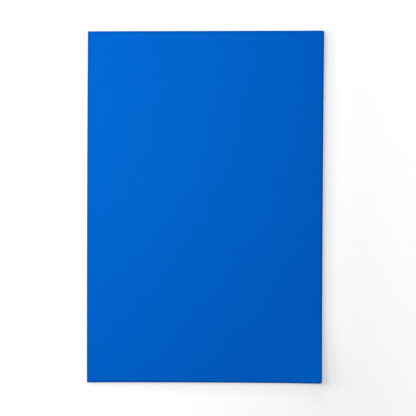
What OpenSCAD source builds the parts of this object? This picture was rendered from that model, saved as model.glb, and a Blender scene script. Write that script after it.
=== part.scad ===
// Craft foam sheet: one flat piece of closed-cell foam, sheared to size on all four sides.
// The origin is the middle of the underside, +X across the width, +Y along the length
// towards the back edge and +Z up through the thickness.

/* [Sheet] */
// Width, along the front and back edges
sheet_w = 306; // [180:1:600]
// Length, along the two sides
sheet_l = 457; // [200:1:900]
// Thickness of the foam
sheet_t = 2; // [1.5:0.5:10]

/* [Cut edge] */
// Width of the strip along each edge that the blade dragged down as it cut
roll_run = 1.6; // [0.2:0.1:4]
// Depth to which that strip is dragged down at the cut
roll_drop = 0.7; // [0.1:0.05:0.9]
// Depth of the hollow along the cut wall, where the squeezed foam sprang back
wall_hollow = 0.15; // [0:0.01:0.4]

/* [Corners] */
// Radius of the two crisp corners on the left
left_corner_r = 0.6; // [0.3:0.1:8]
// Radius of the back right corner
back_corner_r = 2.5; // [0.3:0.1:8]
// Radius of the front right corner, the bluntest of the four
front_corner_r = 3; // [0.3:0.1:8]

/* [Cutting drift] */
// Distance that the front edge stands to the left of the back edge
out_of_square = 1.9; // [0:0.1:6]
// Sideways bow of the two long sides, to the left at the middle
side_bow = 0.4; // [0:0.05:0.9]
// Hollow of the front edge at its middle
front_hollow = 0.6; // [0:0.05:2]

/* [Lie] */
// Height to which the front right corner curls off the table
corner_lift = 2; // [0:0.1:10]
// Length of the right side that the curl takes up
lift_side_run = 110; // [60:1:180]
// Length of the front edge that the curl takes up
lift_front_run = 65; // [40:1:130]

/* [Hidden] */

foam_colour = [0.01, 0.39, 0.8];

// How finely the outline, the cut wall and the faces are divided
longest_run = 16;
corner_steps = 5;
wall_steps = 4;
roll_steps = 6;
curl_steps = 5;

half_w = sheet_w / 2;
half_l = sheet_l / 2;

// The dragged strip drops by no more than this share of the thickness, so that a wall is left under it.
most_drop = 0.6;
drop = min(roll_drop, most_drop * sheet_t);
wall_h = sheet_t - drop;

// How far in from both edges the curl's fold line crosses the corner's diagonal
curl_inset = lift_side_run * lift_front_run / (lift_side_run + lift_front_run);

// Inside this inset the sheet is plain and flat, clear of the cut edge and of the curl
field_inset = roll_run + curl_inset;

// How far the rim reaches in past the edge of the flat field, so that the two join as one
rim_overlap = 4;
rim_inset = field_inset + rim_overlap;

// Corners anticlockwise from the front left: [side in X, side in Y, radius, angle where its arc starts]
corners = [
    [-1, -1, left_corner_r, 180],
    [1, -1, front_corner_r, 270],
    [1, 1, back_corner_r, 0],
    [-1, 1, left_corner_r, 90]
];

function corner_arc(c) =
    let (centre = [c[0] * (half_w - c[2]), c[1] * (half_l - c[2])])
    [
        for (i = [0 : corner_steps])
            let (a = c[3] + 90 * i / corner_steps)
            centre + c[2] * [cos(a), sin(a)]
    ];

// Points strictly between two ends of a straight edge
function edge_run(from, to) =
    let (runs = ceil(norm(to - from) / longest_run))
    [for (i = [1 : runs - 1]) from + (to - from) * i / runs];

arcs = [for (c = corners) corner_arc(c)];
outline = [
    for (k = [0 : len(arcs) - 1])
        let (here = arcs[k], next = arcs[(k + 1) % len(arcs)])
        each concat(here, edge_run(here[corner_steps], next[0]))
];

// Section of the rim as [inset from the edge, height]: out along the underside, up the cut wall,
// over the dragged strip and in along the top face
under_face = [for (k = [curl_steps : -1 : 1]) [field_inset * k / curl_steps, 0]];
cut_wall = [for (i = [0 : wall_steps]) [wall_hollow * sin(180 * i / wall_steps), wall_h * i / wall_steps]];
rolled_edge = [
    for (i = [1 : roll_steps])
        let (a = 90 * i / roll_steps)
        [roll_run * (1 - cos(a)), wall_h + drop * sin(a)]
];
top_face = [for (k = [1 : curl_steps]) [roll_run + curl_inset * k / curl_steps, sheet_t]];
section = concat([[rim_inset, 0]], under_face, cut_wall, rolled_edge, top_face, [[rim_inset, sheet_t]]);

// Height of the curl: none up to the fold line, then rising as a parabola to the corner
function curl(x, y) =
    let (near = 1 - (half_w - x) / lift_front_run - (half_l + y) / lift_side_run)
    corner_lift * pow(max(0, near), 2);

// Puts a point of the squared sheet where the cut and the curl left it
function as_cut(x, y, z) =
    let (across = x / half_w, along = y / half_l)
    [
        x + out_of_square * along / 2 - side_bow * (1 - along * along),
        y + front_hollow * max(0, -along) * (1 - across * across),
        z + curl(x, y)
    ];

// The outline drawn in by the inset of one point of the section
function ring(s) = [
    for (p = outline)
        as_cut(p.x * (1 - s[0] / half_w), p.y * (1 - s[0] / half_l), s[1])
];

// The rim: its section carried round the outline, closed by a plain wall inside the flat field
module cut_rim() {
    around = len(outline);
    rings = len(section);
    skin = [
        for (j = [0 : rings - 1], i = [0 : around - 1])
            let (
                low = j * around,
                high = (j + 1) % rings * around,
                next = (i + 1) % around
            )
            each [
                [low + i, high + i, low + next],
                [low + next, high + i, high + next]
            ]
    ];
    polyhedron(points = [for (s = section) each ring(s)], faces = skin, convexity = 4);
}

module flat_field() {
    linear_extrude(height = sheet_t)
        polygon([for (p = ring([field_inset, 0])) [p.x, p.y]]);
}

module foam_sheet() {
    color(foam_colour)
        union() {
            cut_rim();
            flat_field();
        }
}

foam_sheet();
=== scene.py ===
"""Craft foam sheet, lying flat on a pale floor under soft light, laid out as an add-on.

Metres throughout. The origin is the middle of the underside, +X across the width, +Y along the
length towards the back edge and +Z up through the thickness.
"""

import math

import bpy
from mathutils import Euler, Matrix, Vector


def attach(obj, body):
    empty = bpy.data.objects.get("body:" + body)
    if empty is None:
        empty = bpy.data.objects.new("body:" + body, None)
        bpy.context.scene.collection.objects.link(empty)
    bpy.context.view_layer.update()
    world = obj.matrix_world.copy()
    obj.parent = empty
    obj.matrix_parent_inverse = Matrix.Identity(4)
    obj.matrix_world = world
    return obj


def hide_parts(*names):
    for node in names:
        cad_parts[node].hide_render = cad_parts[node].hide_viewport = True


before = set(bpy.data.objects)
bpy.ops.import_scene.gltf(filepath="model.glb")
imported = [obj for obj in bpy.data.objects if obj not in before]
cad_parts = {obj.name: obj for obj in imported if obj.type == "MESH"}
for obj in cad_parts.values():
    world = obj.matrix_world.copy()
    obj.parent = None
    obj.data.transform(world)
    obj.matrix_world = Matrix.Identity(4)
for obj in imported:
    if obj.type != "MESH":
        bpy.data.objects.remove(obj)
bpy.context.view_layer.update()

bl_info = {
    "name": "Craft Foam Sheet",
    "version": (1, 0, 0),
    "blender": (4, 5, 0),
    "location": "View3D > Sidebar > Foam Sheet",
    "description": "Builds a cut sheet of craft foam and the plain studio stage that it lies on",
    "category": "Add Mesh",
}

NODE = "foam_sheet"
BODY = "root"

RIGHT_ANGLE = math.pi / 2
MM = 0.001

# How finely the sheet is divided: points across, along and through it, and cells in the dragged strip
POINTS_ACROSS = 128
POINTS_ALONG = 190
POINTS_THROUGH = 7
STRIP_CELLS = 5

# A share above the first counts as the whole, and one that falls short by less than the second as reached
WHOLE = 0.999
MARGIN = 1 - WHOLE

# The least length to divide by
TINY = 1e-9

# How strongly the foam is darkened where the strip begins, as a share of the darkening at the cut; the
# darkening is partly foam squeezed by the blade and partly painted shade along the edge
FIRST_PRESS_AND_SHADE = 0.35

# The strip drops by no more than this share of the thickness
MOST_DROP = 0.6

# How many times a metre the blade strays and the top face swells
STRAYS = 60.0
SWELLS = 14.0

# An edge that turns by more than this stays sharp
SHARP_ANGLE = math.radians(35)

RIM = "rim"
WALL = "wall"


# ---------------------------------------------------------------- sizes and colours

class FoamSheetSizes(bpy.types.PropertyGroup):
    """Sizes of the sheet, its cut edge, its corners and the way that it lies"""

    width: bpy.props.FloatProperty(
        name="Width", description="Along the front and back edges",
        default=0.306, min=0.18, max=0.6, unit="LENGTH", precision=4)
    length: bpy.props.FloatProperty(
        name="Length", description="Along the two sides",
        default=0.457, min=0.2, max=0.9, unit="LENGTH", precision=4)
    thickness: bpy.props.FloatProperty(
        name="Thickness", description="Thickness of the foam",
        default=0.002, min=0.0015, max=0.01, unit="LENGTH", precision=5)
    strip_run: bpy.props.FloatProperty(
        name="Strip Run", description="Width of the strip that the blade dragged down",
        default=0.0016, min=0.0002, max=0.004, unit="LENGTH", precision=5)
    strip_drop: bpy.props.FloatProperty(
        name="Strip Drop", description="Depth to which the strip is dragged down at the cut",
        default=0.0007, min=0.0001, max=0.0009, unit="LENGTH", precision=5)
    wall_hollow: bpy.props.FloatProperty(
        name="Wall Hollow", description="Depth of the hollow along the cut wall",
        default=0.00015, min=0.0, max=0.0004, unit="LENGTH", precision=5)
    left_corner: bpy.props.FloatProperty(
        name="Left Corners", description="Radius of the two crisp corners on the left",
        default=0.0006, min=0.0003, max=0.008, unit="LENGTH", precision=5)
    back_corner: bpy.props.FloatProperty(
        name="Back Corner", description="Radius of the back right corner",
        default=0.0025, min=0.0003, max=0.008, unit="LENGTH", precision=5)
    front_corner: bpy.props.FloatProperty(
        name="Front Corner", description="Radius of the front right corner, the bluntest",
        default=0.003, min=0.0003, max=0.008, unit="LENGTH", precision=5)
    out_of_square: bpy.props.FloatProperty(
        name="Out of Square", description="Distance that the front edge stands left of the back edge",
        default=0.0019, min=0.0, max=0.006, unit="LENGTH", precision=5)
    side_bow: bpy.props.FloatProperty(
        name="Side Bow", description="Bow of the two long sides, to the left at the middle",
        default=0.0004, min=0.0, max=0.0009, unit="LENGTH", precision=5)
    front_hollow: bpy.props.FloatProperty(
        name="Front Hollow", description="Hollow of the front edge at its middle",
        default=0.0006, min=0.0, max=0.002, unit="LENGTH", precision=5)
    corner_lift: bpy.props.FloatProperty(
        name="Corner Lift", description="Height to which the front right corner curls",
        default=0.002, min=0.0, max=0.01, unit="LENGTH", precision=5)
    lift_side_run: bpy.props.FloatProperty(
        name="Lift Side Run", description="Length of the right side that the curl takes up",
        default=0.11, min=0.06, max=0.18, unit="LENGTH", precision=4)
    lift_front_run: bpy.props.FloatProperty(
        name="Lift Front Run", description="Length of the front edge that the curl takes up",
        default=0.065, min=0.04, max=0.13, unit="LENGTH", precision=4)
    cut_wobble: bpy.props.FloatProperty(
        name="Cut Wobble", description="How far the blade strays either way along a cut",
        default=0.00008, min=0.0, max=0.0005, unit="LENGTH", precision=6)
    face_ripple: bpy.props.FloatProperty(
        name="Face Ripple", description="Height of the slight swells in the top face",
        default=0.00004, min=0.0, max=0.0005, unit="LENGTH", precision=6)


class FoamSheetLooks(bpy.types.PropertyGroup):
    """Colour, grain and sheen of the foam"""

    colour: bpy.props.FloatVectorProperty(
        name="Colour", description="Colour of the moulded face",
        default=(0.0005, 0.106, 0.556), min=0.0, max=1.0, size=3, subtype="COLOR")
    sheen_colour: bpy.props.FloatVectorProperty(
        name="Sheen Colour", description="Tint of the face's dull highlight",
        default=(0.0, 1.0, 1.0), min=0.0, max=1.0, size=3, subtype="COLOR")
    cell: bpy.props.FloatProperty(
        name="Cell", description="Size of the closed cells that show in the face",
        default=0.0004, min=0.0001, max=0.002, unit="LENGTH", precision=5)
    cut_cell: bpy.props.FloatProperty(
        name="Cut Cell", description="Size of the cells that the blade opened",
        default=0.0006, min=0.0001, max=0.003, unit="LENGTH", precision=5)
    cloud: bpy.props.FloatProperty(
        name="Cloud", description="Size of the faint clouds in the dye",
        default=0.055, min=0.005, max=0.5, unit="LENGTH", precision=4)
    roughness: bpy.props.FloatProperty(
        name="Roughness", description="Roughness of the moulded face",
        default=0.45, min=0.0, max=1.0, subtype="FACTOR")
    gloss: bpy.props.FloatProperty(
        name="Gloss", description="Strength of the face's dull highlight",
        default=0.2, min=0.0, max=1.0, subtype="FACTOR")
    # Rim Shade darkens the edge strip: partly foam squeezed by the blade, partly painted shade along the edge
    rim_shade: bpy.props.FloatProperty(
        name="Rim Shade", description="How much darker the foam is where the blade squeezed it",
        default=0.5, min=0.0, max=1.0, subtype="FACTOR")


class FoamStageSettings(bpy.types.PropertyGroup):
    """Floor and world of the stage"""

    floor_colour: bpy.props.FloatVectorProperty(
        name="Floor Colour", description="Colour of the floor under the lamps",
        default=(0.8, 0.8, 0.8), min=0.0, max=1.0, size=3, subtype="COLOR")
    floor_glow: bpy.props.FloatProperty(
        name="Floor Glow", description="Brightness added to the floor beside the sheet for the eye alone",
        default=0.3, min=0.0, max=1.0, subtype="FACTOR")
    sky: bpy.props.FloatProperty(
        name="Sky", description="Strength of the even light from all round",
        default=0.2, min=0.0, max=2.0)


# ---------------------------------------------------------------- node trees

class Link:
    """A socket that can be reckoned with: an expression adds the Math nodes it stands for"""

    def __init__(self, tree, socket=None):
        self.tree = tree
        self.socket = socket

    def add(self, kind, settings=None, inputs=None, output=0):
        """Adds a node, sets it up, fills its sockets with values or links, and gives its outputs."""
        node = self.tree.nodes.new(kind)
        for name, value in (settings or {}).items():
            setattr(node, name, value)
        for key, value in (inputs or {}).items():
            if isinstance(value, Link):
                self.tree.links.new(value.socket, node.inputs[key])
            else:
                node.inputs[key].default_value = value
        if isinstance(output, (list, tuple)):
            return [Link(self.tree, node.outputs[key]) for key in output]
        return Link(self.tree, node.outputs[output]) if node.outputs else None

    def math(self, operation, *values, clamp=False):
        settings = {"operation": operation, "use_clamp": clamp}
        return self.add("ShaderNodeMath", settings, dict(enumerate(values)))

    def __add__(self, other):
        return self.math("ADD", self, other)

    def __radd__(self, other):
        return self.math("ADD", other, self)

    def __sub__(self, other):
        return self.math("SUBTRACT", self, other)

    def __rsub__(self, other):
        return self.math("SUBTRACT", other, self)

    def __mul__(self, other):
        return self.math("MULTIPLY", self, other)

    def __rmul__(self, other):
        return self.math("MULTIPLY", other, self)

    def __truediv__(self, other):
        return self.math("DIVIDE", self, other)

    def __pow__(self, other):
        return self.math("POWER", self, other)

    def __gt__(self, other):
        return self.math("GREATER_THAN", self, other)

    def __lt__(self, other):
        return self.math("LESS_THAN", self, other)

    def __abs__(self):
        return self.math("ABSOLUTE", self)

    def sine(self):
        return self.math("SINE", self)

    def cosine(self):
        return self.math("COSINE", self)

    def sign(self):
        return self.math("SIGN", self)

    def least(self, other):
        return self.math("MINIMUM", self, other)

    def most(self, other):
        return self.math("MAXIMUM", self, other)

    def held(self):
        """Held between 0 and 1."""
        return self.math("ADD", self, 0.0, clamp=True)


def pick(mask, where, elsewhere):
    """The first value where the mask is 1, and the second where it is 0."""
    return mask * where + (1 - mask) * elsewhere


SHEET_SIZES = (
    "Width", "Length", "Thickness", "Strip Run", "Strip Drop", "Wall Hollow", "Left Corners",
    "Back Corner", "Front Corner", "Out of Square", "Side Bow", "Front Hollow", "Corner Lift",
    "Lift Side Run", "Lift Front Run", "Cut Wobble", "Face Ripple",
)


def spread(share, points, half, strip):
    """Distance from the middle, with the outer cells gathered into the strip, the share of the strip crossed,
    and how strongly the foam is darkened, partly where the blade squeezed it and partly as painted shade
    along the edge, which begins one cell before the strip."""
    inner = 1 - 2 * STRIP_CELLS / (points - 1)
    crossed = ((share - inner) / (1 - inner)).held()
    pressed_and_shaded = FIRST_PRESS_AND_SHADE * (share > inner - MARGIN) + (1 - FIRST_PRESS_AND_SHADE) * crossed
    place = (share / inner).least(1) * (half - strip) + strip * (crossed * RIGHT_ANGLE).sine()
    return place, crossed, pressed_and_shaded


def sheet_tree():
    """The tree that shapes a finely divided block into the cut sheet."""
    tree = bpy.data.node_groups.new("cut_foam_sheet", "GeometryNodeTree")
    for name in SHEET_SIZES:
        tree.interface.new_socket(name=name, in_out="INPUT", socket_type="NodeSocketFloat")
    tree.interface.new_socket(name="Foam", in_out="INPUT", socket_type="NodeSocketMaterial")
    tree.interface.new_socket(name="Sheet", in_out="OUTPUT", socket_type="NodeSocketGeometry")
    new = Link(tree)

    (width, length, thick, strip, strip_drop, hollow, left_r, back_r, front_r, out_of_square,
     side_bow, front_hollow, lift, lift_side, lift_front, wobble, ripple, foam) = new.add(
        "NodeGroupInput", output=(*SHEET_SIZES, "Foam"))
    half_w = width * 0.5
    half_l = length * 0.5
    drop = strip_drop.least(thick * MOST_DROP)

    block = new.add("GeometryNodeMeshCube", inputs={
        "Size": (2.0, 2.0, 2.0), "Vertices X": POINTS_ACROSS, "Vertices Y": POINTS_ALONG,
        "Vertices Z": POINTS_THROUGH})
    place = new.add("GeometryNodeInputPosition")
    across, along, through = new.add("ShaderNodeSeparateXYZ", inputs={0: place}, output=(0, 1, 2))

    # The squared sheet: faces, dragged strip and hollow cut wall
    x, strip_x, pressed_and_shaded_x = spread(abs(across), POINTS_ACROSS, half_w, strip)
    y, strip_y, pressed_and_shaded_y = spread(abs(along), POINTS_ALONG, half_l, strip)
    crossed = strip_x.most(strip_y)
    height = (through + 1) * 0.5
    inset = hollow * (height * math.pi).sine() * (crossed > WHOLE)
    z = height * (thick - drop * (1 - (crossed * RIGHT_ANGLE).cosine()))

    # Corners, each with its own radius, and the hollow of the wall carried round them, which takes up
    # no more than half of a small corner
    right_r = pick(along < 0, front_r, back_r)
    radius = pick(across < 0, left_r, right_r)
    past_x = x - (half_w - radius)
    past_y = y - (half_l - radius)
    in_corner = (past_x > 0) * (past_y > 0)
    far = past_x.most(past_y)
    turn = (past_x.least(past_y) / far.most(TINY)) * (RIGHT_ANGLE / 2)
    near_x = past_x > past_y
    reach = far - inset.least(far * 0.5)
    round_x = reach * pick(near_x, turn.cosine(), turn.sine())
    round_y = reach * pick(near_x, turn.sine(), turn.cosine())
    x = pick(in_corner, half_w - radius + round_x, x - inset * (strip_x > WHOLE)) * across.sign()
    y = pick(in_corner, half_l - radius + round_y, y - inset * (strip_y > WHOLE)) * along.sign()

    # Where the blade and the table left it
    here = new.add("ShaderNodeCombineXYZ", inputs={0: x, 1: y, 2: 0.0})
    stray = new.add("ShaderNodeTexNoise", {"noise_dimensions": "3D"}, {
        "Vector": here, "Scale": STRAYS, "Detail": 2.0, "Roughness": 0.5}, output="Color")
    stray_x, stray_y = new.add("ShaderNodeSeparateXYZ", inputs={0: stray}, output=(0, 1))
    swell = new.add("ShaderNodeTexNoise", {"noise_dimensions": "3D"}, {
        "Vector": here, "Scale": SWELLS, "Detail": 1.0, "Roughness": 0.4})
    by_the_cut = crossed * crossed
    across_share = x / half_w
    along_share = y / half_l
    curl = lift * (1 - (half_w - x) / lift_front - (half_l + y) / lift_side).most(0) ** 2
    cut_x = (x + out_of_square * along_share * 0.5 - side_bow * (1 - along_share * along_share)
             + wobble * (stray_x - 0.5) * 2 * by_the_cut)
    cut_y = (y + front_hollow * (0 - along_share).most(0) * (1 - across_share * across_share)
             + wobble * (stray_y - 0.5) * 2 * by_the_cut)
    cut_z = z + curl + ripple * (swell - 0.5) * 2 * (through > WHOLE) * (1 - crossed)

    # The masks are taken from the block's own places, so they are kept before it is shaped
    marked = block
    # The rim mask marks the darkened edge strip: partly squeezed foam, partly painted shade along the edge
    for name, mask in ((RIM, pressed_and_shaded_x.most(pressed_and_shaded_y)), (WALL, crossed > WHOLE)):
        marked = new.add("GeometryNodeStoreNamedAttribute", {"data_type": "FLOAT", "domain": "POINT"},
                         {"Geometry": marked, "Name": name, "Value": mask})
    shaped = new.add("GeometryNodeSetPosition", inputs={
        "Geometry": marked,
        "Position": new.add("ShaderNodeCombineXYZ", inputs={0: cut_x, 1: cut_y, 2: cut_z})})

    smooth = new.add("GeometryNodeSetShadeSmooth", {"domain": "FACE"},
                     {"Geometry": shaped, "Shade Smooth": True})
    bend = new.add("GeometryNodeInputMeshEdgeAngle")
    crisp = new.add("GeometryNodeSetShadeSmooth", {"domain": "EDGE"},
                    {"Geometry": smooth, "Selection": bend > SHARP_ANGLE, "Shade Smooth": False})
    whole = new.add("GeometryNodeRealizeInstances", inputs={"Geometry": crisp})
    finished = new.add("GeometryNodeSetMaterial", inputs={"Geometry": whole, "Material": foam})
    new.add("NodeGroupOutput", inputs={"Sheet": finished})
    return tree


def shaped_mesh(name, tree, values):
    """An object whose plain mesh is what the tree makes of the named values."""
    piece = bpy.data.objects.new(name, bpy.data.meshes.new(name))
    bpy.context.scene.collection.objects.link(piece)
    modifier = piece.modifiers.new(name, "NODES")
    modifier.node_group = tree
    for item in tree.interface.items_tree:
        if item.in_out == "INPUT":
            modifier[item.identifier] = values[item.name]
    graph = bpy.context.evaluated_depsgraph_get()
    mesh = bpy.data.meshes.new_from_object(
        piece.evaluated_get(graph), preserve_all_data_layers=True, depsgraph=graph)
    piece.modifiers.clear()
    piece.data = mesh
    mesh.name = name

    # The block brings an empty slot with it, so the foam is given the only one
    mesh.materials.clear()
    mesh.materials.append(values["Foam"])
    return piece


# ---------------------------------------------------------------- materials

# How much the clouds, the grain and the cells darken or lighten the foam
CLOUD_SHADE = 0.05
GRAIN_SHADE = 0.05
CLOSED_SHADE = 0.04
OPENED_SHADE = 0.35
WALL_SHADE = 1.12

# How much they roughen it
CLOUD_ROUGHNESS = 0.06
GRAIN_ROUGHNESS = 0.08
WALL_ROUGHNESS = 0.2

# How high they stand beside each other, how strongly that shows, and its depth in all
CLOSED_RELIEF = 0.35
OPENED_RELIEF = 2.2
GRAIN_RELIEF = 0.3
RELIEF_STRENGTH = 0.35
RELIEF_DEPTH = 0.05 * MM

# Distances from the sheet between which the floor brightens to white
NEAR_FLOOR = 0.045
FAR_FLOOR = 0.8


def new_material(name):
    """An empty material, and a link to add its nodes with."""
    material = bpy.data.materials.new(name)
    material.use_nodes = True
    material.node_tree.nodes.clear()
    return material, Link(material.node_tree)


def foam_material(looks):
    """Dyed closed-cell foam: a smooth dull face, and opened cells along the cut."""
    material, new = new_material("foam_blue")
    place = new.add("ShaderNodeTexCoord", output="Object")
    wall = new.add("ShaderNodeAttribute", {"attribute_name": WALL}, output="Fac")
    rim = new.add("ShaderNodeAttribute", {"attribute_name": RIM}, output="Fac")

    def noise(size, detail):
        return new.add("ShaderNodeTexNoise", {"noise_dimensions": "3D"}, {
            "Vector": place, "Scale": 1 / size, "Detail": detail, "Roughness": 0.55})

    def cells(size):
        return new.add("ShaderNodeTexVoronoi", {"feature": "F1"}, {
            "Vector": place, "Scale": 1 / size, "Randomness": 1.0})

    clouds = noise(looks.cloud, 3.0) - 0.5
    grain = noise(looks.cell * 2, 2.0) - 0.5
    closed = cells(looks.cell)
    opened = cells(looks.cut_cell)

    face_shade = 1 + clouds * CLOUD_SHADE + grain * GRAIN_SHADE - closed * CLOSED_SHADE
    wall_shade = WALL_SHADE - opened * OPENED_SHADE
    # The rim darkens the strip outside the cut wall: partly squeezed foam, partly painted shade along the
    # edge
    shade = pick(wall, wall_shade, face_shade) * (1 - (rim - wall) * looks.rim_shade)
    tone = new.add("ShaderNodeVectorMath", {"operation": "SCALE"}, {
        0: tuple(looks.colour), "Scale": shade})
    roughness = (looks.roughness + clouds * CLOUD_ROUGHNESS + grain * GRAIN_ROUGHNESS
                 + wall * WALL_ROUGHNESS)
    relief = pick(wall, opened * OPENED_RELIEF, closed * CLOSED_RELIEF) + grain * GRAIN_RELIEF
    normal = new.add("ShaderNodeBump", inputs={
        "Strength": RELIEF_STRENGTH, "Distance": RELIEF_DEPTH, "Height": relief})
    surface = new.add("ShaderNodeBsdfPrincipled", inputs={
        "Base Color": tone, "Roughness": roughness, "Normal": normal,
        "Specular IOR Level": looks.gloss, "Specular Tint": (*looks.sheen_colour, 1.0)})
    new.add("ShaderNodeOutputMaterial", inputs={"Surface": surface})
    return material


def to_the_eye(new):
    """1 for rays that the camera, a highlight or glass sends, and 0 for light that falls on things."""
    camera, glossy, clear = new.add("ShaderNodeLightPath", output=(
        "Is Camera Ray", "Is Glossy Ray", "Is Transmission Ray"))
    return camera.most(glossy).most(clear)


def floor_material(settings, sizes):
    """Pale matt floor that keeps the shadow and is brighter to the eye, up to white away from the sheet."""
    material, new = new_material("floor_pale")

    def vector(operation, *values, output=0):
        return new.add("ShaderNodeVectorMath", {"operation": operation}, dict(enumerate(values)), output)

    place = new.add("ShaderNodeTexCoord", output="Object")
    sheet_reach = (sizes.width / 2, sizes.length / 2, 0.0)
    beyond = vector("MAXIMUM", vector("SUBTRACT", vector("ABSOLUTE", place), sheet_reach), (0.0, 0.0, 0.0))
    away = vector("LENGTH", beyond, output="Value")
    far = ((away - NEAR_FLOOR) / (FAR_FLOOR - NEAR_FLOOR)).held()
    glow = settings.floor_glow + (1 - settings.floor_glow) * far
    glow_colour = new.add("ShaderNodeVectorMath", {"operation": "SCALE"}, {
        0: (1.0, 1.0, 1.0), "Scale": to_the_eye(new) * glow})
    matt = new.add("ShaderNodeBsdfDiffuse", inputs={"Color": (*settings.floor_colour, 1.0)})
    shine = new.add("ShaderNodeEmission", inputs={"Color": glow_colour, "Strength": 1.0})
    both = new.add("ShaderNodeAddShader", inputs={0: matt, 1: shine})
    new.add("ShaderNodeOutputMaterial", inputs={"Surface": both})
    return material


# ---------------------------------------------------------------- stage

# Half the width of the floor, and how far it lies under the sheet
FLOOR_REACH = 4.0
FLOOR_GAP = 0.0001

# The camera looks down on the sheet; its turns are in degrees
CAMERA_PLACE = (0.04024, 0.02718, 1.5)
CAMERA_TURN = (-1.0659, 1.3817, 0.0345)
CAMERA_LENS = 100.0
CAMERA_SENSOR = 36.0

# A lamp lower than this makes no highlight, because the dull face would mirror it in a low view
MIRRORED_RISE = math.radians(30)

# Lamps, all aimed at the middle of the sheet: name, degrees round from the left towards the back,
# degrees up, distance, width, height and power in watts
LAMPS = (
    ("lamp_left", 10, 22, 1.6, 0.9, 0.4, 16.9),
    ("lamp_left_low", 10, 8, 1.6, 1.3, 0.16, 35.5),
    ("lamp_back_low", 80, 8, 1.6, 1.3, 0.16, 23.1),
    ("lamp_over", 45, 75, 1.0, 0.4, 0.4, 1.64),
    ("lamp_over_left", 10, 70, 0.8, 0.3, 0.3, 0.48),
    ("lamp_fill", 190, 60, 2.4, 1.4, 1.2, 2.6),
)


def lay_floor(settings, sizes):
    """The floor, which isn't part of the object."""
    reach = FLOOR_REACH
    mesh = bpy.data.meshes.new("floor")
    mesh.from_pydata(
        [(-reach, -reach, -FLOOR_GAP), (reach, -reach, -FLOOR_GAP),
         (reach, reach, -FLOOR_GAP), (-reach, reach, -FLOOR_GAP)], [], [(0, 1, 2, 3)])
    mesh.materials.append(floor_material(settings, sizes))
    floor = bpy.data.objects.new("floor", mesh)
    bpy.context.scene.collection.objects.link(floor)


def set_lamp(name, turn, rise, distance, width, height, power):
    """One soft lamp, turned to the middle of the sheet."""
    turn, rise = math.radians(turn), math.radians(rise)
    place = distance * Vector((
        -math.cos(rise) * math.cos(turn), math.cos(rise) * math.sin(turn), math.sin(rise)))
    data = bpy.data.lights.new(name, "AREA")
    data.shape = "RECTANGLE"
    data.size = width
    data.size_y = height
    data.energy = power
    lamp = bpy.data.objects.new(name, data)
    lamp.location = place
    lamp.rotation_euler = (-place).to_track_quat("-Z", "Y").to_euler()
    lamp.visible_camera = False
    lamp.visible_glossy = rise > MIRRORED_RISE
    bpy.context.scene.collection.objects.link(lamp)


def set_world(settings):
    """Even light from all round, and white to the eye."""
    world = bpy.data.worlds.new("studio")
    world.use_nodes = True
    world.node_tree.nodes.clear()
    new = Link(world.node_tree)
    light = new.add("ShaderNodeBackground", inputs={"Color": (1.0, 1.0, 1.0, 1.0), "Strength": settings.sky})
    white = new.add("ShaderNodeBackground", inputs={"Color": (1.0, 1.0, 1.0, 1.0), "Strength": 1.0})
    sky = new.add("ShaderNodeMixShader", inputs={0: to_the_eye(new), 1: light, 2: white})
    new.add("ShaderNodeOutputWorld", inputs={"Surface": sky})
    bpy.context.scene.world = world


def set_camera():
    """The camera above the sheet."""
    data = bpy.data.cameras.new("camera")
    data.lens = CAMERA_LENS
    data.sensor_width = CAMERA_SENSOR
    camera = bpy.data.objects.new("camera", data)
    camera.location = CAMERA_PLACE
    camera.rotation_euler = Euler([math.radians(turn) for turn in CAMERA_TURN], "XYZ")
    bpy.context.scene.collection.objects.link(camera)
    bpy.context.scene.camera = camera


# ---------------------------------------------------------------- operators and panel

class FOAM_OT_sheet(bpy.types.Operator):
    """Build the cut sheet of foam and lay it in the frame"""

    bl_idname = "foam.build_sheet"
    bl_label = "Build Foam Sheet"

    def execute(self, context):
        sizes = context.scene.foam_sizes
        named = {item.name: getattr(sizes, key) for key, item in sizes.bl_rna.properties.items()
                 if item.name in SHEET_SIZES}
        piece = shaped_mesh("sheet_foam", sheet_tree(),
                            {**named, "Foam": foam_material(context.scene.foam_looks)})
        if not piece.data.polygons:
            raise RuntimeError("the foam sheet came out empty")
        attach(piece, BODY)
        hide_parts(NODE)
        return {"FINISHED"}


class FOAM_OT_stage(bpy.types.Operator):
    """Lay the floor and set the lamps, the world and the camera"""

    bl_idname = "foam.build_stage"
    bl_label = "Build Stage"

    def execute(self, context):
        settings = context.scene.foam_stage
        lay_floor(settings, context.scene.foam_sizes)
        for lamp in LAMPS:
            set_lamp(*lamp)
        set_world(settings)
        set_camera()
        context.scene.view_settings.view_transform = "Standard"
        return {"FINISHED"}


class FOAM_PT_panel(bpy.types.Panel):
    """Sizes, colours and steps of the foam sheet"""

    bl_label = "Foam Sheet"
    bl_space_type = "VIEW_3D"
    bl_region_type = "UI"
    bl_category = "Foam Sheet"

    def draw(self, context):
        for operator, group in ((FOAM_OT_sheet, "foam_sizes"), (None, "foam_looks"),
                                (FOAM_OT_stage, "foam_stage")):
            settings = getattr(context.scene, group)
            box = self.layout.box()
            for key in settings.__annotations__:
                box.prop(settings, key)
            if operator:
                box.operator(operator.bl_idname)


GROUPS = {"foam_sizes": FoamSheetSizes, "foam_looks": FoamSheetLooks, "foam_stage": FoamStageSettings}
CLASSES = (*GROUPS.values(), FOAM_OT_sheet, FOAM_OT_stage, FOAM_PT_panel)


def register():
    for cls in CLASSES:
        bpy.utils.register_class(cls)
    for name, group in GROUPS.items():
        setattr(bpy.types.Scene, name, bpy.props.PointerProperty(type=group))


def unregister():
    for name in GROUPS:
        delattr(bpy.types.Scene, name)
    for cls in reversed(CLASSES):
        bpy.utils.unregister_class(cls)


def main():
    register()
    bpy.ops.foam.build_sheet()
    bpy.ops.foam.build_stage()


if __name__ == "__main__":
    main()
